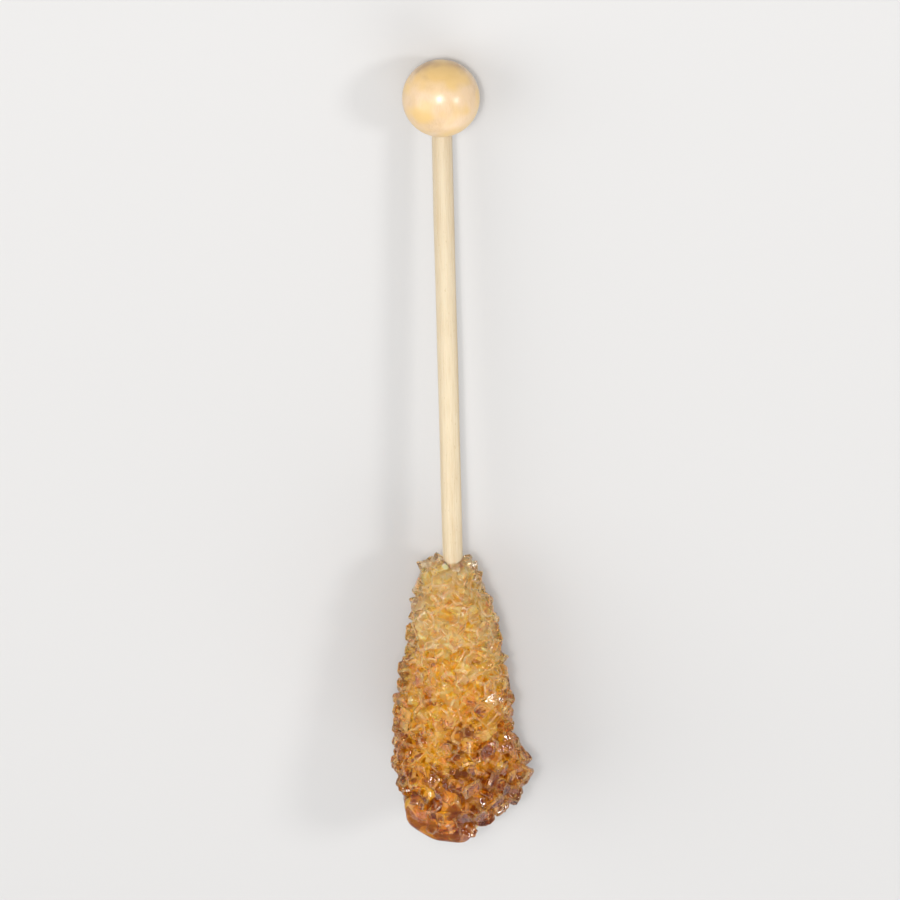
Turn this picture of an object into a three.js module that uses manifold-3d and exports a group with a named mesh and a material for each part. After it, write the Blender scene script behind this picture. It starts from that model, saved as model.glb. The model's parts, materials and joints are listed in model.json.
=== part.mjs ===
// A rock candy stick lying on its side: a lacquered wooden ball glued on one end of a round
// birch stick, and a cluster of amber sugar crystals grown over the other end.
//
// Units are millimetres. The stick's own frame has its origin at the ball's centre, the stick
// along -Y, X across it and +Z towards the side that lies uppermost. The finished part has its
// origin at the bottom centre of its bounding box, and rests on the plane z = 0: the ball on a
// small flat, and the candy on its lowest crystals, which are cut level there.

import * as THREE from "three";
import { mergeVertices } from "three/addons/utils/BufferGeometryUtils.js";
import Module from "manifold-3d";

const wasm = await Module();
wasm.setup();

// ---- Driving dimensions ----

const OVERALL_LENGTH = 165; // from the ball's crown to the candy's tip
const BALL_DIAMETER = 15;
const BALL_FLAT_RADIUS = 1.2; // the small flat that the ball rests on
const BALL_BORE_DEPTH = 9; // how far the stick goes into the ball
const STICK_DIAMETER = 4;
const STICK_END_COVER = 9; // candy beyond the stick's hidden end
const GLUE_GAP = 0.3; // between the stick and what is fixed on it

const CANDY_LENGTH = 60; // over the outermost crystals
const CRYSTAL_REACH = 2.25; // of that, how far the crystals stand past the skin at each end
const REST_STATION = 47; // where the candy touches the table, from the skin's top
const REST_HEIGHT = 13; // of the stick's axis above the table at that station

// The skin that the crystals stand on: [radius, distance from its top], as shares of the
// widest radius and of the skin's length.
const SKIN_RADIUS = 11.1;
const SKIN_PROFILE = [
  [0.24, 0],
  [0.38, 0.05],
  [0.58, 0.19],
  [0.67, 0.31],
  [0.81, 0.45],
  [0.91, 0.63],
  [1.0, 0.81],
  [0.9, 0.92],
  [0.62, 0.98],
  [0.0, 1.0],
];

// Swellings of the cluster, and with a negative rise its dents: how far along the skin and
// which way round it they are (0 degrees is +X and 90 is +Z), their height and their spread.
const LOBES = [
  { along: 0.03, around: 165, rise: 1.7, spread: 2.2 },
  { along: 0.12, around: 0, rise: -0.5, spread: 2.5 },
  { along: 0.2, around: 185, rise: 0.7, spread: 4 },
  { along: 0.42, around: 180, rise: 1, spread: 2.6 },
  { along: 0.56, around: 180, rise: 1.2, spread: 2.6 },
  { along: 0.64, around: 0, rise: -1.3, spread: 2.6 },
  { along: 0.68, around: 180, rise: 0.9, spread: 2.6 },
  { along: 0.72, around: 75, rise: 0.7, spread: 6 },
  { along: 0.74, around: 0, rise: -1.2, spread: 2.4 },
  { along: 0.81, around: 180, rise: 0.3, spread: 4 },
  { along: 0.83, around: 2, rise: 2.2, spread: 3.6 },
  { along: 0.88, around: 178, rise: 1.1, spread: 2 },
  { along: 0.94, around: 178, rise: -3, spread: 3 },
  { along: 0.94, around: 100, rise: 3.3, spread: 4.5 },
  { along: 0.985, around: 40, rise: -2, spread: 3 },
];

// A crystal is a slanting block. Its sides vary between these shares of its mean size.
const CRYSTAL_COUNT = 292;
const CRYSTAL_LENGTH = 4.2;
const CRYSTAL_WIDTH = 3.2;
const CRYSTAL_THICKNESS = 2.4;
const CRYSTAL_SIZES = [0.72, 1.38];
const CRYSTAL_SLANT = Math.tan(THREE.MathUtils.degToRad(13)); // sugar's oblique axis
const CRYSTAL_PROUD = [0.7, 2.0]; // how far its outer end stands out of the skin
const CRYSTAL_LEAN = THREE.MathUtils.degToRad(42); // the most that one leans
const FULL_SIZE_RADIUS = 5.6; // nearer the stick than this, crystals are smaller in proportion,
const LEAST_SIZE = 0.6; // down to this share
const GOLDEN_ANGLE = Math.PI * (3 - Math.sqrt(5));
const AROUND_JITTER = 0.12; // radians added to the golden angle at random

const BALL_SEGMENTS = 40;
const STICK_SEGMENTS = 32;
const CORE_SEGMENTS = 12;
const CORE_STEPS = 9;
const PROFILE_STEPS = 200; // for measuring the skin's area
const MERGE_DISTANCE = 1e-4;

// ---- Worked out from the dimensions ----

const ballRadius = BALL_DIAMETER / 2;
const stickRadius = STICK_DIAMETER / 2;
const skinTop = OVERALL_LENGTH - ballRadius - CANDY_LENGTH + CRYSTAL_REACH; // from the ball's centre
const skinLength = CANDY_LENGTH - 2 * CRYSTAL_REACH;
const stickTop = -(ballRadius - BALL_BORE_DEPTH); // inside the ball, along Y
const stickBottom = -(skinTop + skinLength - STICK_END_COVER);
const ballHeight = Math.sqrt(ballRadius ** 2 - BALL_FLAT_RADIUS ** 2); // centre above the table
const restTilt = Math.asin((REST_HEIGHT - ballHeight) / (skinTop + REST_STATION));

// The turn that lays the stick down: its candy end lies higher than the ball's centre.
const lying = new THREE.Matrix4()
  .makeTranslation(0, 0, ballHeight)
  .multiply(new THREE.Matrix4().makeRotationX(-restTilt));

// ---- Small helpers ----

// A repeatable number from 0 to 1 for crystal i and purpose k.
function chance(i, k) {
  const x = Math.sin(i * 12.9898 + k * 78.233) * 43758.5453;
  return x - Math.floor(x);
}

function between([low, high], share) {
  return low + (high - low) * share;
}

// A closed three.js geometry as a manifold-3d solid.
function solidOf(geometry) {
  const bare = new THREE.BufferGeometry();
  bare.setAttribute("position", geometry.getAttribute("position"));
  bare.setIndex(geometry.getIndex());
  const merged = mergeVertices(bare, MERGE_DISTANCE);
  return new wasm.Manifold(
    new wasm.Mesh({
      numProp: 3,
      vertProperties: new Float32Array(merged.getAttribute("position").array),
      triVerts: new Uint32Array(merged.getIndex().array),
    }),
  );
}

// A solid as a three.js geometry.
function geometryOf(solid) {
  const mesh = solid.getMesh();
  const geometry = new THREE.BufferGeometry();
  geometry.setAttribute("position", new THREE.BufferAttribute(mesh.vertProperties, 3));
  geometry.setIndex(new THREE.BufferAttribute(mesh.triVerts, 1));
  return geometry;
}

// The largest body of a solid, which fills sealed hollows and drops loose scraps.
function mainBody(solid) {
  const bodies = solid.decompose();
  return bodies.reduce((best, body) => (body.volume() > best.volume() ? body : best));
}

// A round bar along Y between two places.
function barAlongY(radius, fromY, toY) {
  const length = Math.abs(toY - fromY);
  const bar = new THREE.CylinderGeometry(radius, radius, length, STICK_SEGMENTS);
  return bar.translate(0, (fromY + toY) / 2, 0);
}

// What lies under the table's surface, in the stick's own frame.
function underTable() {
  const size = 2 * OVERALL_LENGTH;
  const slab = new THREE.BoxGeometry(size, size, size).translate(0, 0, -size / 2);
  return solidOf(slab.applyMatrix4(lying.clone().invert()));
}

// ---- The ball and the stick ----

// A sphere whose poles are on the stick's axis, bored for the stick and flat where it rests.
function woodenBall(table) {
  const ball = new THREE.SphereGeometry(ballRadius, BALL_SEGMENTS, BALL_SEGMENTS / 2);
  const bore = barAlongY(stickRadius + GLUE_GAP, -BALL_DIAMETER, stickTop + GLUE_GAP);
  return geometryOf(solidOf(ball).subtract(solidOf(bore)).subtract(table));
}

function woodenStick() {
  return barAlongY(stickRadius, stickTop, stickBottom);
}

// ---- The candy ----

const skinCurve = new THREE.SplineCurve(
  SKIN_PROFILE.map(
    ([radius, along]) => new THREE.Vector2(radius * SKIN_RADIUS, along * skinLength),
  ),
);

// A point of the profile turned round the stick. Angle 0 is +X and 90 degrees +Z.
function turned(radius, along, around) {
  return new THREE.Vector3(
    radius * Math.cos(around),
    -(skinTop + along),
    radius * Math.sin(around),
  );
}

// The point of the profile nearest to a share of the skin's length.
function profileAt(share) {
  const away = (p) => Math.abs(p.y - share * skinLength);
  return skinCurve
    .getPoints(PROFILE_STEPS)
    .reduce((best, p) => (away(p) < away(best) ? p : best));
}

const lobes = LOBES.map(({ along, around, rise, spread }) => {
  const { x, y } = profileAt(along);
  return { top: turned(x, y, THREE.MathUtils.degToRad(around)), rise, spread };
});

// How far the lobes lift the skin at a point: a bell curve of the distance to each of them.
function liftAt(point) {
  return lobes.reduce(
    (sum, { top, rise, spread }) =>
      sum + rise * Math.exp(-point.distanceToSquared(top) / (2 * spread ** 2)),
    0,
  );
}

// The skin as short steps down the profile, with the area of the turned skin above each.
function skinSteps() {
  const points = skinCurve.getPoints(PROFILE_STEPS);
  const steps = [];
  let area = 0;
  for (let k = 1; k < points.length; k++) {
    const from = points[k - 1];
    const to = points[k];
    const ring = (from.x + to.x) * from.distanceTo(to); // the ring's area over pi
    steps.push({ from, to, before: area, ring });
    area += ring;
  }
  return { steps, area };
}

// The place and the outward direction on the skin for a share of its area and an angle.
function placeOnSkin({ steps, area }, share, around) {
  const wanted = share * area;
  const step = steps.find(({ before, ring }) => wanted <= before + ring) ?? steps.at(-1);
  const at = step.from.clone().lerp(step.to, (wanted - step.before) / step.ring);
  const slope = step.to.clone().sub(step.from).normalize();
  const place = turned(at.x, at.y, around);
  const out = new THREE.Vector3(
    slope.y * Math.cos(around),
    slope.x,
    slope.y * Math.sin(around),
  );
  return { place: place.addScaledVector(out, liftAt(place)), out };
}

// A crystal's three axes: upright leans from the outward direction, and the other two are
// spun round it, both by a repeatable draw.
function crystalAxes(out, i) {
  const leanTo = new THREE.Vector3(0, 1, 0).cross(out).normalize();
  leanTo.applyAxisAngle(out, 2 * Math.PI * chance(i, 1));
  const lean = CRYSTAL_LEAN * Math.sqrt(chance(i, 2));
  const upright = out.clone().multiplyScalar(Math.cos(lean)).addScaledVector(leanTo, Math.sin(lean));
  const across = new THREE.Vector3().crossVectors(upright, leanTo).normalize();
  across.applyAxisAngle(upright, 2 * Math.PI * chance(i, 3));
  const third = new THREE.Vector3().crossVectors(across, upright);
  return { across, upright, third };
}

// One crystal: a block sheared along its thickness, with its outer end proud of the skin.
function crystal({ place, out }, i) {
  const { across, upright, third } = crystalAxes(out, i);
  const radius = Math.hypot(place.x, place.z);
  const size = THREE.MathUtils.clamp(radius / FULL_SIZE_RADIUS, LEAST_SIZE, 1);
  const length = size * CRYSTAL_LENGTH * between(CRYSTAL_SIZES, chance(i, 4));
  const width = size * CRYSTAL_WIDTH * between(CRYSTAL_SIZES, chance(i, 5));
  const thickness = size * CRYSTAL_THICKNESS * between(CRYSTAL_SIZES, chance(i, 6));
  const proud = size * between(CRYSTAL_PROUD, chance(i, 7));
  const slanted = third.addScaledVector(upright, CRYSTAL_SLANT);
  const axes = new THREE.Matrix4().makeBasis(
    across.multiplyScalar(width),
    upright.multiplyScalar(length),
    slanted.multiplyScalar(thickness),
  );
  axes.setPosition(place.addScaledVector(out, proud - length / 2));
  return solidOf(new THREE.BoxGeometry(1, 1, 1).applyMatrix4(axes));
}

// The crystals, spread evenly over the skin by the golden angle.
function crystals() {
  const skin = skinSteps();
  const blocks = [];
  for (let i = 0; i < CRYSTAL_COUNT; i++) {
    const share = (i + 0.5) / CRYSTAL_COUNT;
    const around = i * GOLDEN_ANGLE + AROUND_JITTER * chance(i, 0);
    blocks.push(crystal(placeOnSkin(skin, share, around), i));
  }
  return blocks;
}

// The core that fills the cluster behind its crystals: the turned skin, lifted by the lobes.
function candyCore() {
  const profile = skinCurve
    .getPoints(CORE_STEPS)
    .map((p) => new THREE.Vector2(p.x, -(skinTop + p.y)));
  profile[0].x = 0;
  profile.at(-1).x = 0;
  const core = new THREE.LatheGeometry(profile.reverse(), CORE_SEGMENTS);
  const position = core.getAttribute("position");
  const point = new THREE.Vector3();
  for (let k = 0; k < position.count; k++) {
    point.fromBufferAttribute(position, k);
    const radius = Math.hypot(point.x, point.z);
    if (radius > 0) {
      const wider = (radius + liftAt(point)) / radius;
      position.setXYZ(k, point.x * wider, point.y, point.z * wider);
    }
  }
  return solidOf(core);
}

function rockCandy(table) {
  const bore = barAlongY(stickRadius + GLUE_GAP, 0, stickBottom - GLUE_GAP);
  const cluster = wasm.Manifold.union([candyCore(), ...crystals()]);
  return geometryOf(mainBody(cluster.subtract(solidOf(bore)).subtract(table)));
}

// ---- The part ----

const materials = {
  ball: new THREE.MeshStandardMaterial({ color: 0xe9c98f, roughness: 0.3, metalness: 0 }),
  stick: new THREE.MeshStandardMaterial({ color: 0xeed8ae, roughness: 0.6, metalness: 0 }),
  candy: new THREE.MeshStandardMaterial({ color: 0xc98a35, roughness: 0.15, metalness: 0 }),
};

function named(name, geometry, material) {
  const mesh = new THREE.Mesh(geometry, material);
  mesh.name = name;
  return mesh;
}

const table = underTable();
const stick = new THREE.Group();
stick.add(
  named("wooden_ball", woodenBall(table), materials.ball),
  named("wooden_stick", woodenStick(), materials.stick),
  named("rock_candy", rockCandy(table), materials.candy),
);
stick.rotation.x = -restTilt;
stick.position.z = ballHeight;

const part = new THREE.Group();
part.add(stick);
const middle = new THREE.Box3().setFromObject(part, true).getCenter(new THREE.Vector3());
stick.position.x = -middle.x;
stick.position.y = -middle.y;

export default part;
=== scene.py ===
import json
import math

import bmesh
import bpy
import numpy as np
from mathutils import Matrix, Vector

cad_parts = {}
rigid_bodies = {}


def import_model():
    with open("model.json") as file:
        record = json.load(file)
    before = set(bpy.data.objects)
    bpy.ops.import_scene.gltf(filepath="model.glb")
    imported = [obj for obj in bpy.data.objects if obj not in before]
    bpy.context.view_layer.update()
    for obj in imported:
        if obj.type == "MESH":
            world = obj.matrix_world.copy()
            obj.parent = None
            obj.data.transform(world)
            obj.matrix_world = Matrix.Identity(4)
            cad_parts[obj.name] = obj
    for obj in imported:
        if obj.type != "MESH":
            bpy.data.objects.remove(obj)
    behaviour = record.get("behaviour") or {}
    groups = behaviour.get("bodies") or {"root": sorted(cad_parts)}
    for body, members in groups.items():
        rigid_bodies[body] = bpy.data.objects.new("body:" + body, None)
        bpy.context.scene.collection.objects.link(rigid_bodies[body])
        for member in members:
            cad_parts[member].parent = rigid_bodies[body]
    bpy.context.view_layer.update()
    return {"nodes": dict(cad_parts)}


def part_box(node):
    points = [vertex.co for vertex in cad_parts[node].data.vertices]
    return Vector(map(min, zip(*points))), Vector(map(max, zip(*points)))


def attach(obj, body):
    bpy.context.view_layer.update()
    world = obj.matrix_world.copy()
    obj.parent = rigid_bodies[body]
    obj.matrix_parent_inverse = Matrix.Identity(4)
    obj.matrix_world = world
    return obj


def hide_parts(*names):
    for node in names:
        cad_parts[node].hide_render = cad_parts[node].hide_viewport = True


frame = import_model()

# Shapes are worked out in millimetres in the stick's own frame: the ball's centre is its origin, the
# stick runs along -Y, X lies across it and Z points to the side that shows.
mm = 0.001
ballRadius = 7.5
dowelRadius = 2.0


def nodePoints(name):
    mesh = frame["nodes"][name].data
    points = np.empty(len(mesh.vertices) * 3)
    mesh.vertices.foreach_get("co", points)
    return points.reshape(-1, 3)


def findStickFrame():
    # the axis is the direction in which the dowel's corners spread furthest, pointed at the ball, and
    # the centre lies a radius in from the ball's end and a radius below its top
    corners = nodePoints("wooden_stick")
    axis = np.linalg.svd(corners - corners.mean(0), full_matrices=False)[2][0]
    axis *= math.copysign(1, axis[1])
    across = np.array([1.0, 0.0, 0.0])
    across -= axis * across.dot(axis)
    across /= np.linalg.norm(across)
    low, high = (np.array(corner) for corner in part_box("wooden_ball"))
    radius = ballRadius * mm
    centre = np.array([(low[0] + high[0]) / 2, high[1] - radius, high[2] - radius])
    return centre, np.stack([across, axis, np.cross(across, axis)])


ballCentre, stickAxes = findStickFrame()


def toRow(points):
    # from the stick's frame in millimetres to the part's frame in metres
    return ballCentre + mm * np.asarray(points) @ stickAxes


def unit(vectors):
    # each vector divided by its length
    return vectors / np.linalg.norm(vectors, axis=-1, keepdims=True)


def chance(i, k):
    # a repeatable number from 0 to 1 for item i and purpose k: the decimals of a large sine
    x = np.sin(i * 12.9898 + k * 78.233) * 43758.5453
    return x - np.floor(x)


def between(limits, share):
    return limits[0] + (limits[1] - limits[0]) * share


def turnAbout(vectors, axes, angles):
    # Rodrigues' formula: each vector turned about its own unit axis
    c, s = np.cos(angles)[:, None], np.sin(angles)[:, None]
    along = (vectors * axes).sum(-1, keepdims=True)
    return vectors * c + np.cross(axes, vectors) * s + axes * along * (1 - c)


def newPiece(name, points, faces, smooth=True):
    mesh = bpy.data.meshes.new(name)
    mesh.from_pydata(points.tolist(), [], faces)
    mesh.polygons.foreach_set("use_smooth", np.full(len(mesh.polygons), smooth))
    mesh.update()
    piece = bpy.data.objects.new(name, mesh)
    bpy.context.scene.collection.objects.link(piece)
    return piece


def anglesAround(count):
    return 2 * math.pi * np.arange(count) / count


def turnedFaces(rings, around):
    # quads between neighbouring rings, and a fan at each end to one of the two poles, the last points
    k = np.arange(around)
    m = (k + 1) % around
    r = np.arange(rings - 1)[:, None] * around
    quads = np.stack([r + k, r + m, r + around + m, r + around + k], -1).reshape(-1, 4)
    last = (rings - 1) * around
    top = np.stack([np.full(around, rings * around), m, k], -1)
    bottom = np.stack([np.full(around, rings * around + 1), last + k, last + m], -1)
    return quads.tolist() + top.tolist() + bottom.tolist()


def turnedPoints(profile, around):
    # a profile of (radius, place along Y) from the +Y end to the -Y end, turned round Y
    theta = anglesAround(around)
    radius, along = profile[:, 0:1], profile[:, 1:2]
    ones = np.ones_like(theta)
    return np.stack([radius * np.cos(theta), along * ones, radius * np.sin(theta)], -1).reshape(-1, 3)


def closedTurning(profile, around, poles):
    # the turned profile, closed by a point on the axis at each end
    points = turnedPoints(profile, around)
    ends = [[0, poles[0], 0], [0, poles[1], 0]]
    return np.concatenate([points, ends]), turnedFaces(len(profile), around)


def newMaterial(name, finish):
    # finish holds what is the same all over, by the name of the shader's socket
    material = bpy.data.materials.new(name)
    material.use_nodes = True
    tree = material.node_tree
    shader = tree.nodes["Principled BSDF"]
    for socket, value in finish.items():
        shader.inputs[socket].default_value = value
    return material, tree, shader


def addNode(tree, kind, **settings):
    node = tree.nodes.new(kind)
    for key, value in settings.items():
        if key in node.inputs:
            node.inputs[key].default_value = value
        else:
            setattr(node, key, value)
    return node


def stickSpace(tree, drawn=1.0):
    # Object coordinates turned and centred to the stick's own frame, in millimetres; with drawn below 1
    # a pattern is drawn out along the stick
    source = addNode(tree, "ShaderNodeTexCoord")
    centring = addNode(tree, "ShaderNodeMapping", vector_type="TEXTURE")
    centring.inputs["Location"].default_value = tuple(ballCentre)
    centring.inputs["Rotation"].default_value = Matrix(stickAxes.T.tolist()).to_euler()
    centring.inputs["Scale"].default_value = (mm, mm / drawn, mm)
    tree.links.new(source.outputs["Object"], centring.inputs["Vector"])
    return centring.outputs["Vector"]


def noise(tree, pattern):
    # smooth noise whose features are about the pattern's size wide, in mm
    node = addNode(tree, "ShaderNodeTexNoise", Scale=1 / pattern["size"], Detail=pattern["detail"])
    node.inputs["Roughness"].default_value = pattern.get("roughness", 0.5)
    node.inputs["Distortion"].default_value = pattern.get("distortion", 0.0)
    tree.links.new(stickSpace(tree, pattern.get("drawn", 1.0)), node.inputs["Vector"])
    return node.outputs["Fac"]


def ramp(tree, value, stops, smooth=False):
    # a colour for each (value, colour) stop, blended between them
    node = addNode(tree, "ShaderNodeValToRGB")
    node.color_ramp.interpolation = "EASE" if smooth else "LINEAR"
    elements = node.color_ramp.elements
    while len(elements) < len(stops):
        elements.new(0.5)
    for element, (place, colour) in zip(elements, stops):
        element.position = place
        element.color = (*colour, 1)
    tree.links.new(value, node.inputs["Fac"])
    return node.outputs["Color"]


def rise(tree, value, start, stop, most=1.0):
    # 0 where the value is below start, growing to most where it is above stop
    return ramp(tree, value, ((start, (0.0, 0.0, 0.0)), (stop, (most, most, most))))


def setSocket(tree, socket, value):
    # linked where the value comes from another node, and otherwise a plain number or colour
    if isinstance(value, bpy.types.NodeSocket):
        tree.links.new(value, socket)
    else:
        socket.default_value = (*value, 1) if isinstance(value, tuple) else value


def blendColours(tree, share, first, second, kind="MIX"):
    # the Mix node keeps its colours in inputs 6 and 7 and in output 2
    node = addNode(tree, "ShaderNodeMix", data_type="RGBA", blend_type=kind)
    for k, value in ((0, share), (6, first), (7, second)):
        setSocket(tree, node.inputs[k], value)
    return node.outputs[2]


def calculate(tree, operation, *values, clamp=False):
    node = addNode(tree, "ShaderNodeMath", operation=operation, use_clamp=clamp)
    for socket, value in zip(node.inputs, values):
        setSocket(tree, socket, value)
    return node.outputs[0]


def addScaled(tree, base, value, weight):
    # base + value * weight
    return calculate(tree, "ADD", base, calculate(tree, "MULTIPLY", value, weight))


def alongStick(tree):
    # mm along the stick from the ball's centre, more towards the crown
    split = addNode(tree, "ShaderNodeSeparateXYZ")
    tree.links.new(stickSpace(tree), split.inputs[0])
    return split.outputs["Y"]


def addBump(tree, shader, level, pattern):
    # the pattern's height is in metres
    node = addNode(tree, "ShaderNodeBump", Strength=pattern["strength"], Distance=pattern["height"])
    tree.links.new(level, node.inputs["Height"])
    tree.links.new(node.outputs["Normal"], shader.inputs["Normal"])


ball = {
    "boreRadius": 2.04, "boreEnd": 1.6, "boreSteps": 8, "rimRadius": 0.22, "rimSteps": 6,
    "around": 160, "along": 96,
    "pale": (0.63, 0.45, 0.27), "deep": (0.37, 0.22, 0.085), "golden": (0.64, 0.42, 0.145),
    "paleBelow": 0.30, "deepAbove": 1.0,  # in the sum of the patterns' shares
    "fibre": {"size": 0.25, "detail": 4.0, "roughness": 0.6, "drawn": 0.14, "share": 0.3,
              "height": 0.00003, "strength": 0.5},
    "figure": {"size": 3.2, "detail": 3.0, "distortion": 0.6, "drawn": 0.4, "share": 0.5},
    "rings": {"spacing": 1.3, "drawn": 0.3, "distortion": 3.0, "share": 0.07},
    # mm along the stick where the crown's tan starts and is full, and the noise that makes this waver
    "crown": {"from": 5.4, "to": 9.4, "share": 0.6, "size": 3.0, "detail": 3.0, "waver": 2.4},
    "goldPatch": {"size": 4.5, "detail": 1.0, "from": 0.38, "to": 0.6, "most": 0.8},
    "finish": {"Roughness": 0.45, "Coat Weight": 0.7, "Coat Roughness": 0.27, "Subsurface Weight": 0.12,
               "Subsurface Radius": (1.0, 0.6, 0.3), "Subsurface Scale": 0.0012},
}
waveSpacing = 0.31  # between the bands of a wave texture whose scale is 1


def ringBands(tree, rings):
    # concentric bands round the stick's axis, spaced in mm
    bands = addNode(tree, "ShaderNodeTexWave", wave_type="RINGS", rings_direction="Y")
    bands.inputs["Scale"].default_value = waveSpacing / rings["spacing"]
    bands.inputs["Distortion"].default_value = rings["distortion"]
    tree.links.new(stickSpace(tree, rings["drawn"]), bands.inputs["Vector"])
    return bands.outputs["Fac"]


def crownTan(tree, crown):
    # tan round the crown, with its rings just showing
    height = addScaled(tree, alongStick(tree), noise(tree, crown), crown["waver"])
    tan = addNode(tree, "ShaderNodeMapRange", interpolation_type="SMOOTHSTEP")
    tan.inputs["From Min"].default_value = crown["from"]
    tan.inputs["From Max"].default_value = crown["to"]
    tree.links.new(height, tan.inputs["Value"])
    return tan.outputs[0]


def ballMaterial():
    material, tree, shader = newMaterial("lacqueredBallWood", ball["finish"])
    fibres = noise(tree, ball["fibre"])
    share = calculate(tree, "MULTIPLY", fibres, ball["fibre"]["share"])
    share = addScaled(tree, share, noise(tree, ball["figure"]), ball["figure"]["share"])
    share = addScaled(tree, share, crownTan(tree, ball["crown"]), ball["crown"]["share"])
    share = addScaled(tree, share, ringBands(tree, ball["rings"]), ball["rings"]["share"])
    stops = ((ball["paleBelow"], ball["pale"]), (ball["deepAbove"], ball["deep"]))
    colour = ramp(tree, share, stops, smooth=True)
    patch = ball["goldPatch"]
    gold = rise(tree, noise(tree, patch), patch["from"], patch["to"], patch["most"])
    tree.links.new(blendColours(tree, gold, colour, ball["golden"]), shader.inputs["Base Color"])
    addBump(tree, shader, fibres, ball["fibre"])
    return material


def makeBall():
    # a circle's arc from the crown to the hole's rounded rim, then down the bore to its end, turned
    # round Y
    bore, rim = ball["boreRadius"], ball["rimRadius"]
    rimCentre = -math.sqrt((ballRadius - rim) ** 2 - (bore + rim) ** 2)
    lastAngle = math.acos(rimCentre / (ballRadius - rim))
    angle = np.linspace(0, lastAngle, ball["along"])[1:]
    arc = np.stack([ballRadius * np.sin(angle), ballRadius * np.cos(angle)], -1)
    turn = np.linspace(lastAngle, 1.5 * math.pi, ball["rimSteps"] + 1)[1:]
    fillet = np.stack([bore + rim + rim * np.sin(turn), rimCentre + rim * np.cos(turn)], -1)
    down = np.linspace(rimCentre, ball["boreEnd"], ball["boreSteps"] + 1)[1:]
    wall = np.stack([np.full(len(down), bore), down], -1)
    profile = np.concatenate([arc, fillet, wall])
    points, faces = closedTurning(profile, ball["around"], (ballRadius, ball["boreEnd"]))
    points = toRow(points)
    points[:, 2] = np.maximum(points[:, 2], 0)  # the small flat that it rests on
    piece = newPiece("turnedBall", points, faces)
    piece.data.materials.append(ballMaterial())
    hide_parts("wooden_ball")
    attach(piece, "root")
    print("ball made")


dowel = {
    "top": 1.5, "end": -146.0, "around": 64, "step": 0.75, "rounding": 0.3,
    # height in mm, waves round the dowel, radians for each mm along it, and start of each waver
    "wavers": ((0.02, 3, 0.05, 0.0), (0.012, 7, -0.11, 1.3), (0.02, 0, 0.21, 0.7)),
    "pale": (0.62, 0.52, 0.36), "deep": (0.45, 0.33, 0.185), "fleck": (0.32, 0.20, 0.09),
    "paleBelow": 0.40, "deepAbove": 0.95,  # in the sum of the patterns' shares
    "fibre": {"size": 0.22, "detail": 5.0, "roughness": 0.62, "drawn": 0.045, "share": 0.45,
              "height": 0.00006, "strength": 0.7},
    "streak": {"size": 1.4, "detail": 2.0, "drawn": 0.02, "share": 0.55},
    "patch": {"size": 14.0, "detail": 1.0, "share": 0.2},
    "specks": {"size": 0.16, "detail": 1.0, "drawn": 0.16, "from": 0.69, "to": 0.76, "share": 0.4},
    # painted shade: a little darker towards the ball, where the stick lies in shade: the colour is
    # multiplied by this there, and less and less as far as this place in mm along the stick
    "shadeNearBall": (0.86, 0.85, 0.85), "shadeEndsAt": -70.0,
    "finish": {"Roughness": 0.58, "Subsurface Weight": 0.1, "Subsurface Radius": (1.0, 0.6, 0.3),
               "Subsurface Scale": 0.001},
}


def dowelMaterial():
    material, tree, shader = newMaterial("bareDowelWood", dowel["finish"])
    fibres = noise(tree, dowel["fibre"])
    share = calculate(tree, "MULTIPLY", fibres, dowel["fibre"]["share"])
    for key in ("streak", "patch"):
        share = addScaled(tree, share, noise(tree, dowel[key]), dowel[key]["share"])
    stops = ((dowel["paleBelow"], dowel["pale"]), (dowel["deepAbove"], dowel["deep"]))
    colour = ramp(tree, share, stops, smooth=True)
    specks = dowel["specks"]
    specked = rise(tree, noise(tree, specks), specks["from"], specks["to"])
    specked = calculate(tree, "MULTIPLY", specked, specks["share"])
    colour = blendColours(tree, specked, colour, dowel["fleck"])
    # painted shade: the colour is darkened towards the ball
    away = calculate(tree, "DIVIDE", alongStick(tree), dowel["shadeEndsAt"], clamp=True)
    paintedShade = ramp(tree, away, ((0.0, dowel["shadeNearBall"]), (1.0, (1.0, 1.0, 1.0))))
    colour = blendColours(tree, 1.0, colour, paintedShade, "MULTIPLY")
    tree.links.new(colour, shader.inputs["Base Color"])
    addBump(tree, shader, fibres, dowel["fibre"])
    return material


def makeDowel():
    # a circle carried along Y, its radius wavering by a few hundredths, with rounded edges at both ends
    along = np.arange(dowel["top"], dowel["end"], -dowel["step"])
    radii = np.full(len(along), dowelRadius)
    radii[0] = dowelRadius - dowel["rounding"]
    along = np.append(along, dowel["end"])
    radii = np.append(radii, dowelRadius - dowel["rounding"])
    profile = np.stack([radii, along], -1)
    points, faces = closedTurning(profile, dowel["around"], (dowel["top"], dowel["end"]))
    theta = np.arctan2(points[:, 2], points[:, 0])
    waver = sum(height * np.sin(waves * theta + rate * points[:, 1] + start)
                for height, waves, rate, start in dowel["wavers"])
    points[:, [0, 2]] *= (1 + waver / dowelRadius)[:, None]
    piece = newPiece("birchDowel", toRow(points), faces)
    piece.data.materials.append(dowelMaterial())
    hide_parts("wooden_stick")
    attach(piece, "root")
    print("dowel made")


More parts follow.
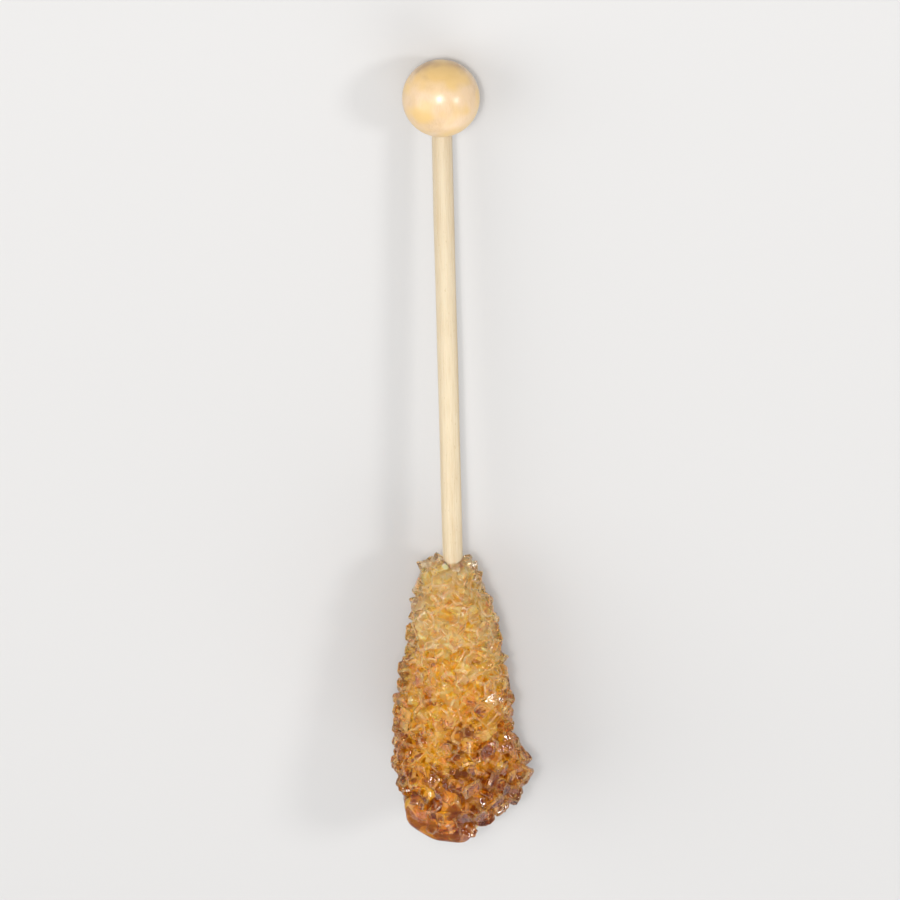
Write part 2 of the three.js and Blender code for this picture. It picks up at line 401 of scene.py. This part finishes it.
# The skin that the crystals stand on: (radius, distance from its top), in shares of radius and length.
skin = {
    "radius": 11.1, "top": 99.75, "length": 55.5, "steps": 200, "around": 72, "rings": 80,
    "profile": ((0.24, 0), (0.38, 0.05), (0.58, 0.19), (0.67, 0.31), (0.81, 0.45), (0.91, 0.63),
                (1.0, 0.81), (0.9, 0.92), (0.62, 0.98), (0.0, 1.0)),
    # place along, degrees round from X to Z, height and spread of each swelling or dent
    "lobes": ((0.03, 165, 1.7, 2.2), (0.12, 0, -0.5, 2.5), (0.2, 185, 0.7, 4), (0.42, 180, 1, 2.6),
              (0.56, 180, 1.2, 2.6), (0.64, 0, -1.3, 2.6), (0.68, 180, 0.9, 2.6), (0.72, 75, 0.7, 6),
              (0.74, 0, -1.2, 2.4), (0.81, 180, 0.3, 4), (0.83, 2, 2.2, 3.6), (0.88, 178, 1.1, 2),
              (0.94, 178, -3, 3), (0.94, 100, 3.3, 4.5), (0.985, 40, -2, 3)),
}


def smoothLine(points, steps):
    # a uniform Catmull-Rom curve through the points
    p = np.asarray(points, float)
    last = len(p) - 1
    t = last * np.arange(steps + 1) / steps
    i = np.floor(t).astype(int)
    w = (t - i)[:, None]
    before, here = p[np.maximum(i - 1, 0)], p[i]
    ahead, beyond = p[np.minimum(i + 1, last)], p[np.minimum(i + 2, last)]
    slopeIn, slopeOut = (ahead - before) / 2, (beyond - here) / 2
    cubic = (2 * here - 2 * ahead + slopeIn + slopeOut) * w ** 3
    return cubic + (3 * ahead - 3 * here - 2 * slopeIn - slopeOut) * w ** 2 + slopeIn * w + here


skinStops = [(r * skin["radius"], a * skin["length"]) for r, a in skin["profile"]]
skinLine = smoothLine(skinStops, skin["steps"])


def aroundStick(radius, along, theta):
    # the point at a radius, a distance along from the skin's top, and an angle from X to Z
    level = -(skin["top"] + along) + 0 * theta
    return np.stack([radius * np.cos(theta), level, radius * np.sin(theta)], -1)


def lobeTops():
    # the skin's point under each swelling, with its height and spread
    for along, degrees, height, spread in skin["lobes"]:
        nearest = skinLine[np.abs(skinLine[:, 1] - along * skin["length"]).argmin()]
        yield aroundStick(nearest[0], nearest[1], np.array(math.radians(degrees))), height, spread


lobes = list(lobeTops())


def liftAt(points):
    # the sum of a bell curve of the distance to each swelling
    return sum(height * np.exp(-((points - top) ** 2).sum(-1) / (2 * spread ** 2))
               for top, height, spread in lobes)


def placeOnSkin(line, share, theta):
    # the point at a share of the turned line's area, and the outward direction there
    start, stop = line[:-1], line[1:]
    length = np.linalg.norm(stop - start, axis=1)
    ring = (start[:, 0] + stop[:, 0]) * length
    upTo = np.cumsum(ring)
    k = np.minimum(np.searchsorted(upTo, share * upTo[-1]), len(ring) - 1)
    part = ((share * upTo[-1] - upTo[k] + ring[k]) / ring[k])[:, None]
    at = start[k] * (1 - part) + stop[k] * part
    slope = (stop[k] - start[k]) / length[k, None]
    place = aroundStick(at[:, 0], at[:, 1], theta)
    out = np.stack([slope[:, 1] * np.cos(theta), slope[:, 0], slope[:, 1] * np.sin(theta)], -1)
    return place + out * liftAt(place)[:, None], out


# The smooth syrupy drip at the tip.
drip = {
    "place": (-3.7, -152.3, 7.7), "along": (0.92, -0.32, 0.2),  # its centre and its long axis
    "size": (7.2, 4.6, 4.3), "around": 56, "rings": 40,  # half its lengths
    "lumps": 0.08, "waves": ((5.1, 1.0), (4.3, 0.5), (6.2, -0.8)),  # rate and start of each wave of lumps
    # where the crystals beside it sink, how far, and how far round that
    "sunkAt": (-3.2, -156.2, 8.4), "sink": 1.4, "spread": 2.5,
}
crystal = {
    "corner": (0.1, 0.3), "otherCorner": (0.05, 0.14),  # shares of its width cut from its corners
    "bevel": (0.06, 0.17), "steep": 0.8, "slant": 0.3,  # its ends' bevel, and how far they slant
    "fullAt": 5.6, "least": 0.6,  # smaller nearer the stick than this in mm, down to the least share
    "stray": 0.12,  # radians round the stick
    "axisLean": math.tan(math.radians(13)),  # sugar's oblique axis
}
goldenAngle = math.pi * (3 - math.sqrt(5))


def spreadOver(line, sort):
    # numbers, places and outward directions of crystals spread over the skin by the golden angle
    i = np.arange(sort["count"], dtype=float)
    n = i + sort["first"]
    share = sort["reach"] * (i + 0.5) / sort["count"]
    return (n, *placeOnSkin(line, share, i * goldenAngle + crystal["stray"] * chance(n, 0)))


def crystalBlocks(n, place, out, sort):
    # each crystal's centre and three edge vectors; a bell curve of the distance sinks those by the drip
    leanTo = turnAbout(unit(np.cross([0.0, 1.0, 0.0], out)), out, 2 * np.pi * chance(n, 1))
    lean = math.radians(sort["lean"]) * np.sqrt(chance(n, 2))[:, None]
    upright = out * np.cos(lean) + leanTo * np.sin(lean)
    across = turnAbout(unit(np.cross(upright, leanTo)), upright, 2 * np.pi * chance(n, 3))
    third = np.cross(across, upright)
    fromAxis = np.hypot(place[:, 0], place[:, 2])
    share = np.clip(fromAxis / crystal["fullAt"], crystal["least"], 1)[:, None]
    length, width, thickness = (size * share * between(sort["vary"], chance(n, 4 + k))[:, None]
                                for k, size in enumerate(sort["size"]))
    proud = share * between(sort["proud"], chance(n, 7))[:, None]
    away = ((place - drip["sunkAt"]) ** 2).sum(-1)[:, None]
    proud -= drip["sink"] * np.exp(-away / (2 * drip["spread"] ** 2))
    centre = place + out * (proud - length / 2)
    leaning = (third + upright * crystal["axisLean"]) * thickness
    return n, centre, across * width, upright * length, leaning


def crystalPoints(n, centre, across, upright, third):
    # eight-sided prisms, both ends bevelled and cut aslant: four rings of eight corners each
    corner = between(crystal["corner"], chance(n, 11))
    other = between(crystal["otherCorner"], chance(n, 12))
    h = np.full_like(corner, 0.5)
    outline = np.stack([
        np.stack(pair, -1) for pair in (
            (h - corner, h), (-h + other, h), (-h, h - other), (-h, -h + corner),
            (-h + corner, -h), (h - other, -h), (h, -h + other), (h, h - corner))
    ], 1)
    bevel = between(crystal["bevel"], chance(n, 13))[:, None]
    slants = crystal["slant"] * (np.stack([chance(n, k) for k in (14, 15, 16, 17)], -1) - 0.5)
    rings = []
    for end, slant in ((-1, slants[:, :2]), (1, slants[:, 2:])):
        for inset in ((1, 0) if end < 0 else (0, 1)):
            ring = outline * (1 - 2 * bevel * inset)[..., None]
            height = end * (0.5 - crystal["steep"] * bevel * (1 - inset))
            height = height + (ring * slant[:, None]).sum(-1)
            rings.append(np.concatenate([ring, height[..., None]], -1))
    q = np.concatenate(rings, 1)
    points = centre[:, None] + q[..., :1] * across[:, None] + q[..., 1:2] * third[:, None]
    return points + q[..., 2:] * upright[:, None]


def crystalFaces():
    # quads between the four rings of eight, then the two ends
    faces = [(r + k, r + 8 + k, r + 8 + (k + 1) % 8, r + (k + 1) % 8)
             for r in (0, 8, 16) for k in range(8)]
    return faces + [tuple(range(8)), tuple(range(31, 23, -1))]


def crystalRims():
    # 1 on the frosted faces, which are the bevels and the narrow cut corners, and 0 on the clear ones;
    # the frosted faces also get a paler colour, partly as painted glints
    return np.array([1.0] * 8 + [0.0, 1.0] * 4 + [1.0] * 8 + [0.0, 0.0])


def corePiece(name, line):
    # the line turned round the stick, each ring widened where the swellings lift it
    rows = line[np.linspace(0, skin["steps"], skin["rings"] + 2).astype(int)[1:-1]]
    points = turnedPoints(np.stack([rows[:, 0], -(skin["top"] + rows[:, 1])], -1), skin["around"])
    points += unit(points * [1, 0, 1]) * liftAt(points)[:, None]
    ends = [[0, -(skin["top"] + line[k, 1]), 0] for k in (0, -1)]
    faces = turnedFaces(len(rows), skin["around"])
    piece = newPiece(name, toRow(np.concatenate([points, ends])), faces, False)
    for attribute in ("crystal", "rim"):
        piece.data.attributes.new(attribute, "FLOAT", "FACE")
    return piece


def lathedPoints(radius, along, theta):
    # rings whose radius and place along Y may differ round the stick, then the two poles
    points = np.stack([radius * np.cos(theta), along + 0 * theta, radius * np.sin(theta)], -1)
    ends = [[0, points[k, :, 1].mean(), 0] for k in (0, -1)]
    return np.concatenate([points.reshape(-1, 3), ends])


def dripPoints(depth=0.0):
    # a ball stretched along its three axes, all of it depth under the drip's own skin, and made lumpy
    # by two sines multiplied together plus a third
    polar = np.linspace(0, np.pi, drip["rings"] + 2)[1:-1, None]
    theta = anglesAround(drip["around"])
    points = lathedPoints(np.sin(polar) + 0 * theta, np.cos(polar) + 0 * theta, theta)
    points[-2:] = [[0, 1, 0], [0, -1, 0]]
    a, b, c = (np.sin(rate * points[:, k] + start) for k, (rate, start) in enumerate(drip["waves"]))
    points *= (1 + drip["lumps"] * (a * b + c))[:, None]
    first = unit(np.array(drip["along"]))
    second = unit(np.cross([0.0, 0.0, 1.0], first))
    axes = np.stack([first, second, np.cross(first, second)])
    return drip["place"] + points * (np.array(drip["size"]) - depth) @ axes


def applyBoolean(piece, operation, **operands):
    change = piece.modifiers.new(operation, "BOOLEAN")
    change.operation, change.solver = operation, "MANIFOLD"
    for key, value in operands.items():
        setattr(change, key, value)
    made = bpy.data.meshes.new_from_object(piece.evaluated_get(bpy.context.evaluated_depsgraph_get()))
    piece.modifiers.clear()
    piece.data = made


def linkBlock(blocks, points, faces, value, rims, flat=True):
    # each face keeps its crystal's own value, which shifts its colour, and whether it is a frosted edge,
    # whose paler colour is partly painted glint
    mesh = bpy.data.meshes.new("crystal")
    mesh.from_pydata(points.tolist(), [], faces, shade_flat=flat)
    for attribute, values in (("crystal", np.full(len(faces), value)), ("rim", rims)):
        own = mesh.attributes.new(attribute, "FLOAT", "FACE")
        own.data.foreach_set("value", values.astype(np.float32))
    blocks.objects.link(bpy.data.objects.new("crystal", mesh))


def dropScraps(piece):
    # corners joined by edges take the least number among them, and the largest such group is kept
    edges = np.empty(len(piece.data.edges) * 2, int)
    piece.data.edges.foreach_get("vertices", edges)
    edges = edges.reshape(-1, 2)
    group = np.arange(len(piece.data.vertices))
    changed = True
    while changed:
        lower = group.copy()
        np.minimum.at(lower, edges.ravel(), np.repeat(group[edges].min(1), 2))
        lower = lower[lower]
        changed = (lower != group).any()
        group = lower
    loose = np.flatnonzero(group != np.bincount(group).argmax())
    shape = bmesh.new()
    shape.from_mesh(piece.data)
    shape.verts.ensure_lookup_table()
    bmesh.ops.delete(shape, geom=[shape.verts[k] for k in loose], context="VERTS")
    shape.to_mesh(piece.data)
    shape.free()
    print(piece.name, "joined, without", len(loose), "corners of loose or sealed scraps")


def joinCrystals(core, sets, smooth):
    # one union of the core, every crystal, and smooth pieces given as (points, faces, value)
    blocks = bpy.data.collections.new("crystalBlocks")
    bpy.context.scene.collection.children.link(blocks)
    for block in sets:
        for points, value in zip(toRow(crystalPoints(*block)), chance(block[0], 21)):
            linkBlock(blocks, points, crystalFaces(), value, crystalRims())
    for points, faces, value in smooth:
        linkBlock(blocks, toRow(points), faces, value, np.zeros(len(faces)), flat=False)
    applyBoolean(core, "UNION", operand_type="COLLECTION", collection=blocks)
    for block in list(blocks.objects):
        bpy.data.meshes.remove(block.data)
    bpy.data.collections.remove(blocks)
    dropScraps(core)


def addCandyPiece(piece, material):
    piece.data.materials.clear()
    piece.data.materials.append(material)
    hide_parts("rock_candy")
    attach(piece, "root")
    print(piece.name, "made,", sum(len(p.vertices) - 2 for p in piece.data.polygons), "triangles")


def placeAlong(tree, shift):
    # 0 at the candy's top to 1 at its tip, shifted in patches and from crystal to crystal
    fromTop = calculate(tree, "ADD", alongStick(tree), skin["top"])
    along = calculate(tree, "DIVIDE", fromTop, -skin["length"])
    cloud = calculate(tree, "SUBTRACT", noise(tree, shift), 0.5)
    own = addNode(tree, "ShaderNodeAttribute", attribute_name="crystal").outputs["Fac"]
    along = addScaled(tree, along, cloud, shift["patches"])
    return addScaled(tree, along, calculate(tree, "SUBTRACT", own, 0.5), shift["crystals"])


# The cloudier sugar inside.
heart = {
    # how deep it lies under the skin, what is added to that at the top and over what length it fades,
    # and its least radius in the upper half
    "depth": 1.1, "topDepth": -0.4, "topLength": 8.0, "radius": 2.2,
    # how deep it lies under the drip's skin, and the value that stands for a crystal's own one there
    "dripDepth": 0.4, "dripValue": -0.3,
    # length, width and thickness in mm, the shares they vary between, how far they stand proud and
    # lean, and what share of the skin they cover from its top
    "sorts": (
        {"count": 420, "size": (3.4, 2.9, 2.2), "vary": (0.6, 1.4), "proud": (0.0, 1.0), "lean": 60,
         "first": 13000, "reach": 1},
        {"count": 80, "size": (3.6, 3.0, 2.4), "vary": (0.6, 1.2), "proud": (0.2, 1.5), "lean": 60,
         "first": 25000, "reach": 0.16},
    ),
    # colour, and share of light let through, by place along the candy from 0 at its top to 1 at its tip
    "colours": ((0.0, (1.0, 0.75, 0.44)), (0.12, (1.0, 0.72, 0.36)), (0.30, (1.0, 0.68, 0.26)),
                (0.52, (0.88, 0.51, 0.042)), (0.68, (0.475, 0.205, 0.009)),
                (0.90, (0.265, 0.083, 0.010))),
    "colourShift": {"patches": 0.9, "size": 6.0, "detail": 3.0, "crystals": 0.4},
    "seeThrough": ((0.12, (0.25, 0.25, 0.25)), (0.55, (0.05, 0.05, 0.05))),
    "seeThroughShift": {"patches": 0.4, "size": 8.0, "detail": 3.0, "crystals": 0.3},
    # small grains of sugar, each a little lighter or darker, with paler edges
    "grain": 2.3, "grainShift": 0.33, "grainEdgeWidth": 0.12, "grainEdgeShare": 0.17,
    "grainEdge": ((0.0, (1.0, 0.86, 0.56)), (0.5, (1.0, 0.71, 0.18)), (0.85, (0.62, 0.31, 0.06))),
    "finish": {"Roughness": 0.2, "IOR": 1.03, "Subsurface Weight": 1.0,
               "Subsurface Radius": (1.0, 0.7, 0.35), "Subsurface Scale": 0.004},
}


def heartRows():
    # the skin's line moved inwards by its depth, but never into the stick in its upper half
    slope = unit(np.gradient(skinLine, axis=0))
    depth = heart["depth"] + heart["topDepth"] * np.exp(-skinLine[:, 1:] / heart["topLength"])
    line = skinLine + depth * np.stack([-slope[:, 1], slope[:, 0]], -1)
    least = np.where(skinLine[:, 1] < skin["length"] / 2, heart["radius"], 0.0)
    line[:, 0] = np.maximum(line[:, 0], least)
    line[-1, 0] = 0
    return line


def grainCells(tree):
    # Voronoi cells: a value for each cell, and 1 at the cells' edges falling to 0 inside
    cells = addNode(tree, "ShaderNodeTexVoronoi", feature="F1", Scale=1 / heart["grain"])
    edges = addNode(tree, "ShaderNodeTexVoronoi", feature="DISTANCE_TO_EDGE", Scale=1 / heart["grain"])
    for node in (cells, edges):
        tree.links.new(stickSpace(tree), node.inputs["Vector"])
    stops = ((0.0, (1.0, 1.0, 1.0)), (heart["grainEdgeWidth"], (0.0, 0.0, 0.0)))
    near = ramp(tree, edges.outputs["Distance"], stops, smooth=True)
    split = addNode(tree, "ShaderNodeSeparateColor")
    tree.links.new(cells.outputs["Color"], split.inputs[0])
    return split.outputs[0], near


def heartMaterial():
    material, tree, shader = newMaterial("cloudySugar", heart["finish"])
    grain, edge = grainCells(tree)
    along = placeAlong(tree, heart["colourShift"])
    along = addScaled(tree, along, calculate(tree, "SUBTRACT", grain, 0.5), heart["grainShift"])
    colour = ramp(tree, along, heart["colours"])
    pale = ramp(tree, along, heart["grainEdge"])
    share = calculate(tree, "MULTIPLY", edge, heart["grainEdgeShare"])
    tree.links.new(blendColours(tree, share, colour, pale), shader.inputs["Base Color"])
    clear = ramp(tree, placeAlong(tree, heart["seeThroughShift"]), heart["seeThrough"])
    tree.links.new(clear, shader.inputs["Transmission Weight"])
    return material


def makeHeart():
    line = heartRows()
    piece = corePiece("cloudyHeart", line)
    crystals = [crystalBlocks(*spreadOver(line, sort), sort) for sort in heart["sorts"]]
    dripFaces = turnedFaces(drip["rings"], drip["around"])
    joinCrystals(piece, crystals, [(dripPoints(heart["dripDepth"]), dripFaces, heart["dripValue"])])
    return piece


# The clear outer crystals, with the thin sugar that climbs the stick and the drip's surface.
shell = {
    "sorts": (
        {"count": 292, "size": (4.2, 3.2, 2.4), "vary": (0.72, 1.38), "proud": (0.7, 2.0), "lean": 42,
         "first": 0, "reach": 1},
        {"count": 330, "size": (3.1, 2.4, 1.9), "vary": (0.65, 1.35), "proud": (0.5, 1.9), "lean": 55,
         "first": 5000, "reach": 1},
        {"count": 170, "size": (2.1, 1.6, 1.3), "vary": (0.6, 1.4), "proud": (0.9, 2.1), "lean": 70,
         "first": 9000, "reach": 1},
        {"count": 90, "size": (3.4, 2.8, 2.3), "vary": (0.6, 1.25), "proud": (0.8, 2.0), "lean": 60,
         "first": 21000, "reach": 0.16},
    ),
    "filmValue": 0.3, "dripValue": 0.2,  # these stand for a crystal's own value there
    # colours by place along the candy, of the clear faces and of the frosted edges, whose paler colour
    # is partly painted glint
    "colours": ((0.0, (1.0, 0.83, 0.59)), (0.35, (1.0, 0.79, 0.42)), (0.6, (1.0, 0.75, 0.28)),
                (0.95, (0.86, 0.48, 0.15))),
    "frostAndGlint": ((0.30, (1.0, 0.90, 0.74)), (0.6, (1.0, 0.78, 0.38)), (0.9, (0.92, 0.53, 0.20))),
    "colourShift": {"patches": 0.8, "size": 9.0, "detail": 3.0, "crystals": 0.55},
    "frostAndGlintShare": 0.36, "wornCloud": 0.14, "wornRoughness": 0.15, "roughness": 0.07,
    "depth": (1.0, 0.82, 0.36), "depthDensity": 70,  # the tint that thick sugar gives the light
    "etching": {"size": 0.8, "detail": 2.0, "height": 0.0002, "strength": 0.8},
    "finish": {"IOR": 1.47},
}
film = {
    # its height in mm, and the share, waves and start of what makes its edge uneven
    "height": 1.0, "uneven": 0.5, "waves": ((0.6, 1, 2.6), (0.4, 3, 0.4)), "around": 64, "rings": 12,
    # its thickness at the edge, what the foot adds, and how far the foot is sunk in the skin
    "edge": 0.12, "foot": 0.85, "footCurve": 1.6, "sunk": 0.6,
    # degrees round, mm above the skin's top and mm from the axis of each knob
    "knobs": ((186, 0.9, 3.1), (160, 0.2, 3.5), (12, 0.4, 3.0), (335, 0.0, 3.4), (75, -0.2, 3.0),
              (265, 0.3, 3.0)),
    "knobUpward": 0.5,
    "knob": {"size": (4.0, 3.2, 2.7), "vary": (0.75, 1.15), "proud": (0.6, 1.1), "lean": 40,
             "first": 17000},
}
belowTable = {"half": 0.05, "from": -0.1, "to": 0.05, "depth": 0.01}  # a block in metres


def filmPoints():
    # a foot that thins out up the stick by a power of the height, its edge higher and lower by turns
    share = np.linspace(1, 0, film["rings"])[:, None]
    theta = anglesAround(film["around"])
    uneven = sum(size * np.sin(waves * theta + start) for size, waves, start in film["waves"])
    height = film["height"] + film["uneven"] * uneven
    foot = film["foot"] * (1 - share) ** film["footCurve"]
    radius = dowelRadius + film["edge"] + foot + 0 * theta
    return lathedPoints(radius, height * share - skin["top"] - film["sunk"] * (1 - share), theta)


def knobBlocks():
    # small crystals beside the stick that lean out and up it
    degrees, above, radius = np.array(film["knobs"]).T
    theta = np.radians(degrees)
    out = np.stack([np.cos(theta), film["knobUpward"] + 0 * theta, np.sin(theta)], -1)
    place = aroundStick(radius, -above, theta)
    numbers = np.arange(len(theta)) + film["knob"]["first"]
    return crystalBlocks(numbers, place, unit(out), film["knob"])


def cutLevel(piece):
    # the lowest crystals are flat where they rest: all below the table is cut away
    x = belowTable["half"] * np.array([-1, 1, 1, -1])
    y = np.array([belowTable["from"], belowTable["from"], belowTable["to"], belowTable["to"]])
    levels = (-belowTable["depth"], 0.0)
    corners = np.concatenate([np.stack([x, y, np.full(4, z)], -1) for z in levels])
    sides = [(k, (k + 1) % 4, 4 + (k + 1) % 4, 4 + k) for k in range(4)]
    block = newPiece("belowTable", corners, sides + [(3, 2, 1, 0), (4, 5, 6, 7)], False)
    applyBoolean(piece, "DIFFERENCE", object=block)
    bpy.data.meshes.remove(block.data)


def shellMaterial():
    material, tree, shader = newMaterial("amberSugar", shell["finish"])
    frostAndGlint = addNode(tree, "ShaderNodeAttribute", attribute_name="rim").outputs["Fac"]
    along = placeAlong(tree, shell["colourShift"])
    clear, pale = (ramp(tree, along, shell[key]) for key in ("colours", "frostAndGlint"))
    # partly painted glint: the frosted edges are blended towards a paler colour
    colour = blendColours(tree, calculate(tree, "MULTIPLY", frostAndGlint, shell["frostAndGlintShare"]), clear, pale)
    tree.links.new(colour, shader.inputs["Base Color"])
    cloud = calculate(tree, "SUBTRACT", 1.0, calculate(tree, "MULTIPLY", frostAndGlint, shell["wornCloud"]))
    tree.links.new(cloud, shader.inputs["Transmission Weight"])
    rough = addScaled(tree, shell["roughness"], frostAndGlint, shell["wornRoughness"])
    tree.links.new(rough, shader.inputs["Roughness"])
    addBump(tree, shader, noise(tree, shell["etching"]), shell["etching"])
    depth = addNode(tree, "ShaderNodeVolumeAbsorption", Density=shell["depthDensity"])
    depth.inputs["Color"].default_value = (*shell["depth"], 1)
    tree.links.new(depth.outputs[0], tree.nodes["Material Output"].inputs["Volume"])
    return material


def makeShell():
    piece = corePiece("rockCandy", skinLine)
    crystals = [crystalBlocks(*spreadOver(skinLine, sort), sort) for sort in shell["sorts"]]
    filmFaces = turnedFaces(film["rings"], film["around"])
    dripFaces = turnedFaces(drip["rings"], drip["around"])
    smooth = [(filmPoints(), filmFaces, shell["filmValue"]), (dripPoints(), dripFaces, shell["dripValue"])]
    joinCrystals(piece, crystals + [knobBlocks()], smooth)
    cutLevel(piece)
    return piece


heartPiece = makeHeart()
shellPiece = makeShell()
addCandyPiece(heartPiece, heartMaterial())
addCandyPiece(shellPiece, shellMaterial())
makeBall()
makeDowel()

studio = {
    "floor": {"Base Color": (0.5, 0.49, 0.48, 1), "Roughness": 0.7}, "floorSize": 3.0,
    "world": {"Color": (0.95, 0.97, 1.0, 1), "Strength": 0.5},
    # place and width in metres, and power in watts
    "lamps": {
        "key": {"place": (-0.08, 0.52, 1.15), "size": 0.36, "power": 7.8},
        "sparkle": {"place": (-0.12, 0.52, 1.15), "size": 0.06, "power": 2.6},
        "side": {"place": (-1.1, 0.15, 0.75), "size": 1.3, "power": 10.0},
        "back": {"place": (0.6, -1.1, 0.6), "size": 1.5, "power": 9.3},
        "glint": {"place": (0.85, 0.3, 0.8), "size": 0.24, "power": 4.0},
    },
    "lampAim": (0, -0.05, 0),
}


def makeFloor():
    half = studio["floorSize"] / 2
    corners = np.array([[-half, -half, 0], [half, -half, 0], [half, half, 0], [-half, half, 0]], float)
    floor = newPiece("floor", corners, [(0, 1, 2, 3)])
    floor.data.materials.append(newMaterial("paleFloor", studio["floor"])[0])


def addLamp(name, place, size, power):
    lamp = bpy.data.lights.new(name, "AREA")
    lamp.shape, lamp.size, lamp.energy = "DISK", size, power
    holder = bpy.data.objects.new(name, lamp)
    holder.location = place
    away = Vector(studio["lampAim"]) - Vector(place)
    holder.rotation_euler = away.to_track_quat("-Z", "Y").to_euler()
    bpy.context.scene.collection.objects.link(holder)


def lightStudio():
    world = bpy.data.worlds.new("studio")
    bpy.context.scene.world = world
    world.use_nodes = True
    for socket, value in studio["world"].items():
        world.node_tree.nodes["Background"].inputs[socket].default_value = value
    for name, settings in studio["lamps"].items():
        addLamp(name, **settings)


# The camera stands where it looks down on the stick from the ball's end; its lens and sensor are in mm
# too, and lean is in degrees.
view = {"place": (8.7, 549.3, 1316.6), "aim": (0, -75, 0), "lean": 1.47, "lens": 296, "sensor": 36}


def placeCamera():
    data = bpy.data.cameras.new("camera")
    data.lens, data.sensor_width = view["lens"], view["sensor"]
    camera = bpy.data.objects.new("camera", data)
    place, aim = (Vector(toRow(np.array(view[key], float))) for key in ("place", "aim"))
    back = (place - aim).normalized()
    right = Vector(stickAxes[1]).cross(back).normalized()
    up = back.cross(right)
    turn = Matrix((right, up, back)).transposed() @ Matrix.Rotation(-math.radians(view["lean"]), 3, "Z")
    camera.matrix_world = Matrix.Translation(place) @ turn.to_4x4()
    bpy.context.scene.collection.objects.link(camera)
    bpy.context.scene.camera = camera


makeFloor()
lightStudio()
placeCamera()
print("studio set")

bpy.context.scene.view_settings.view_transform = "Standard"
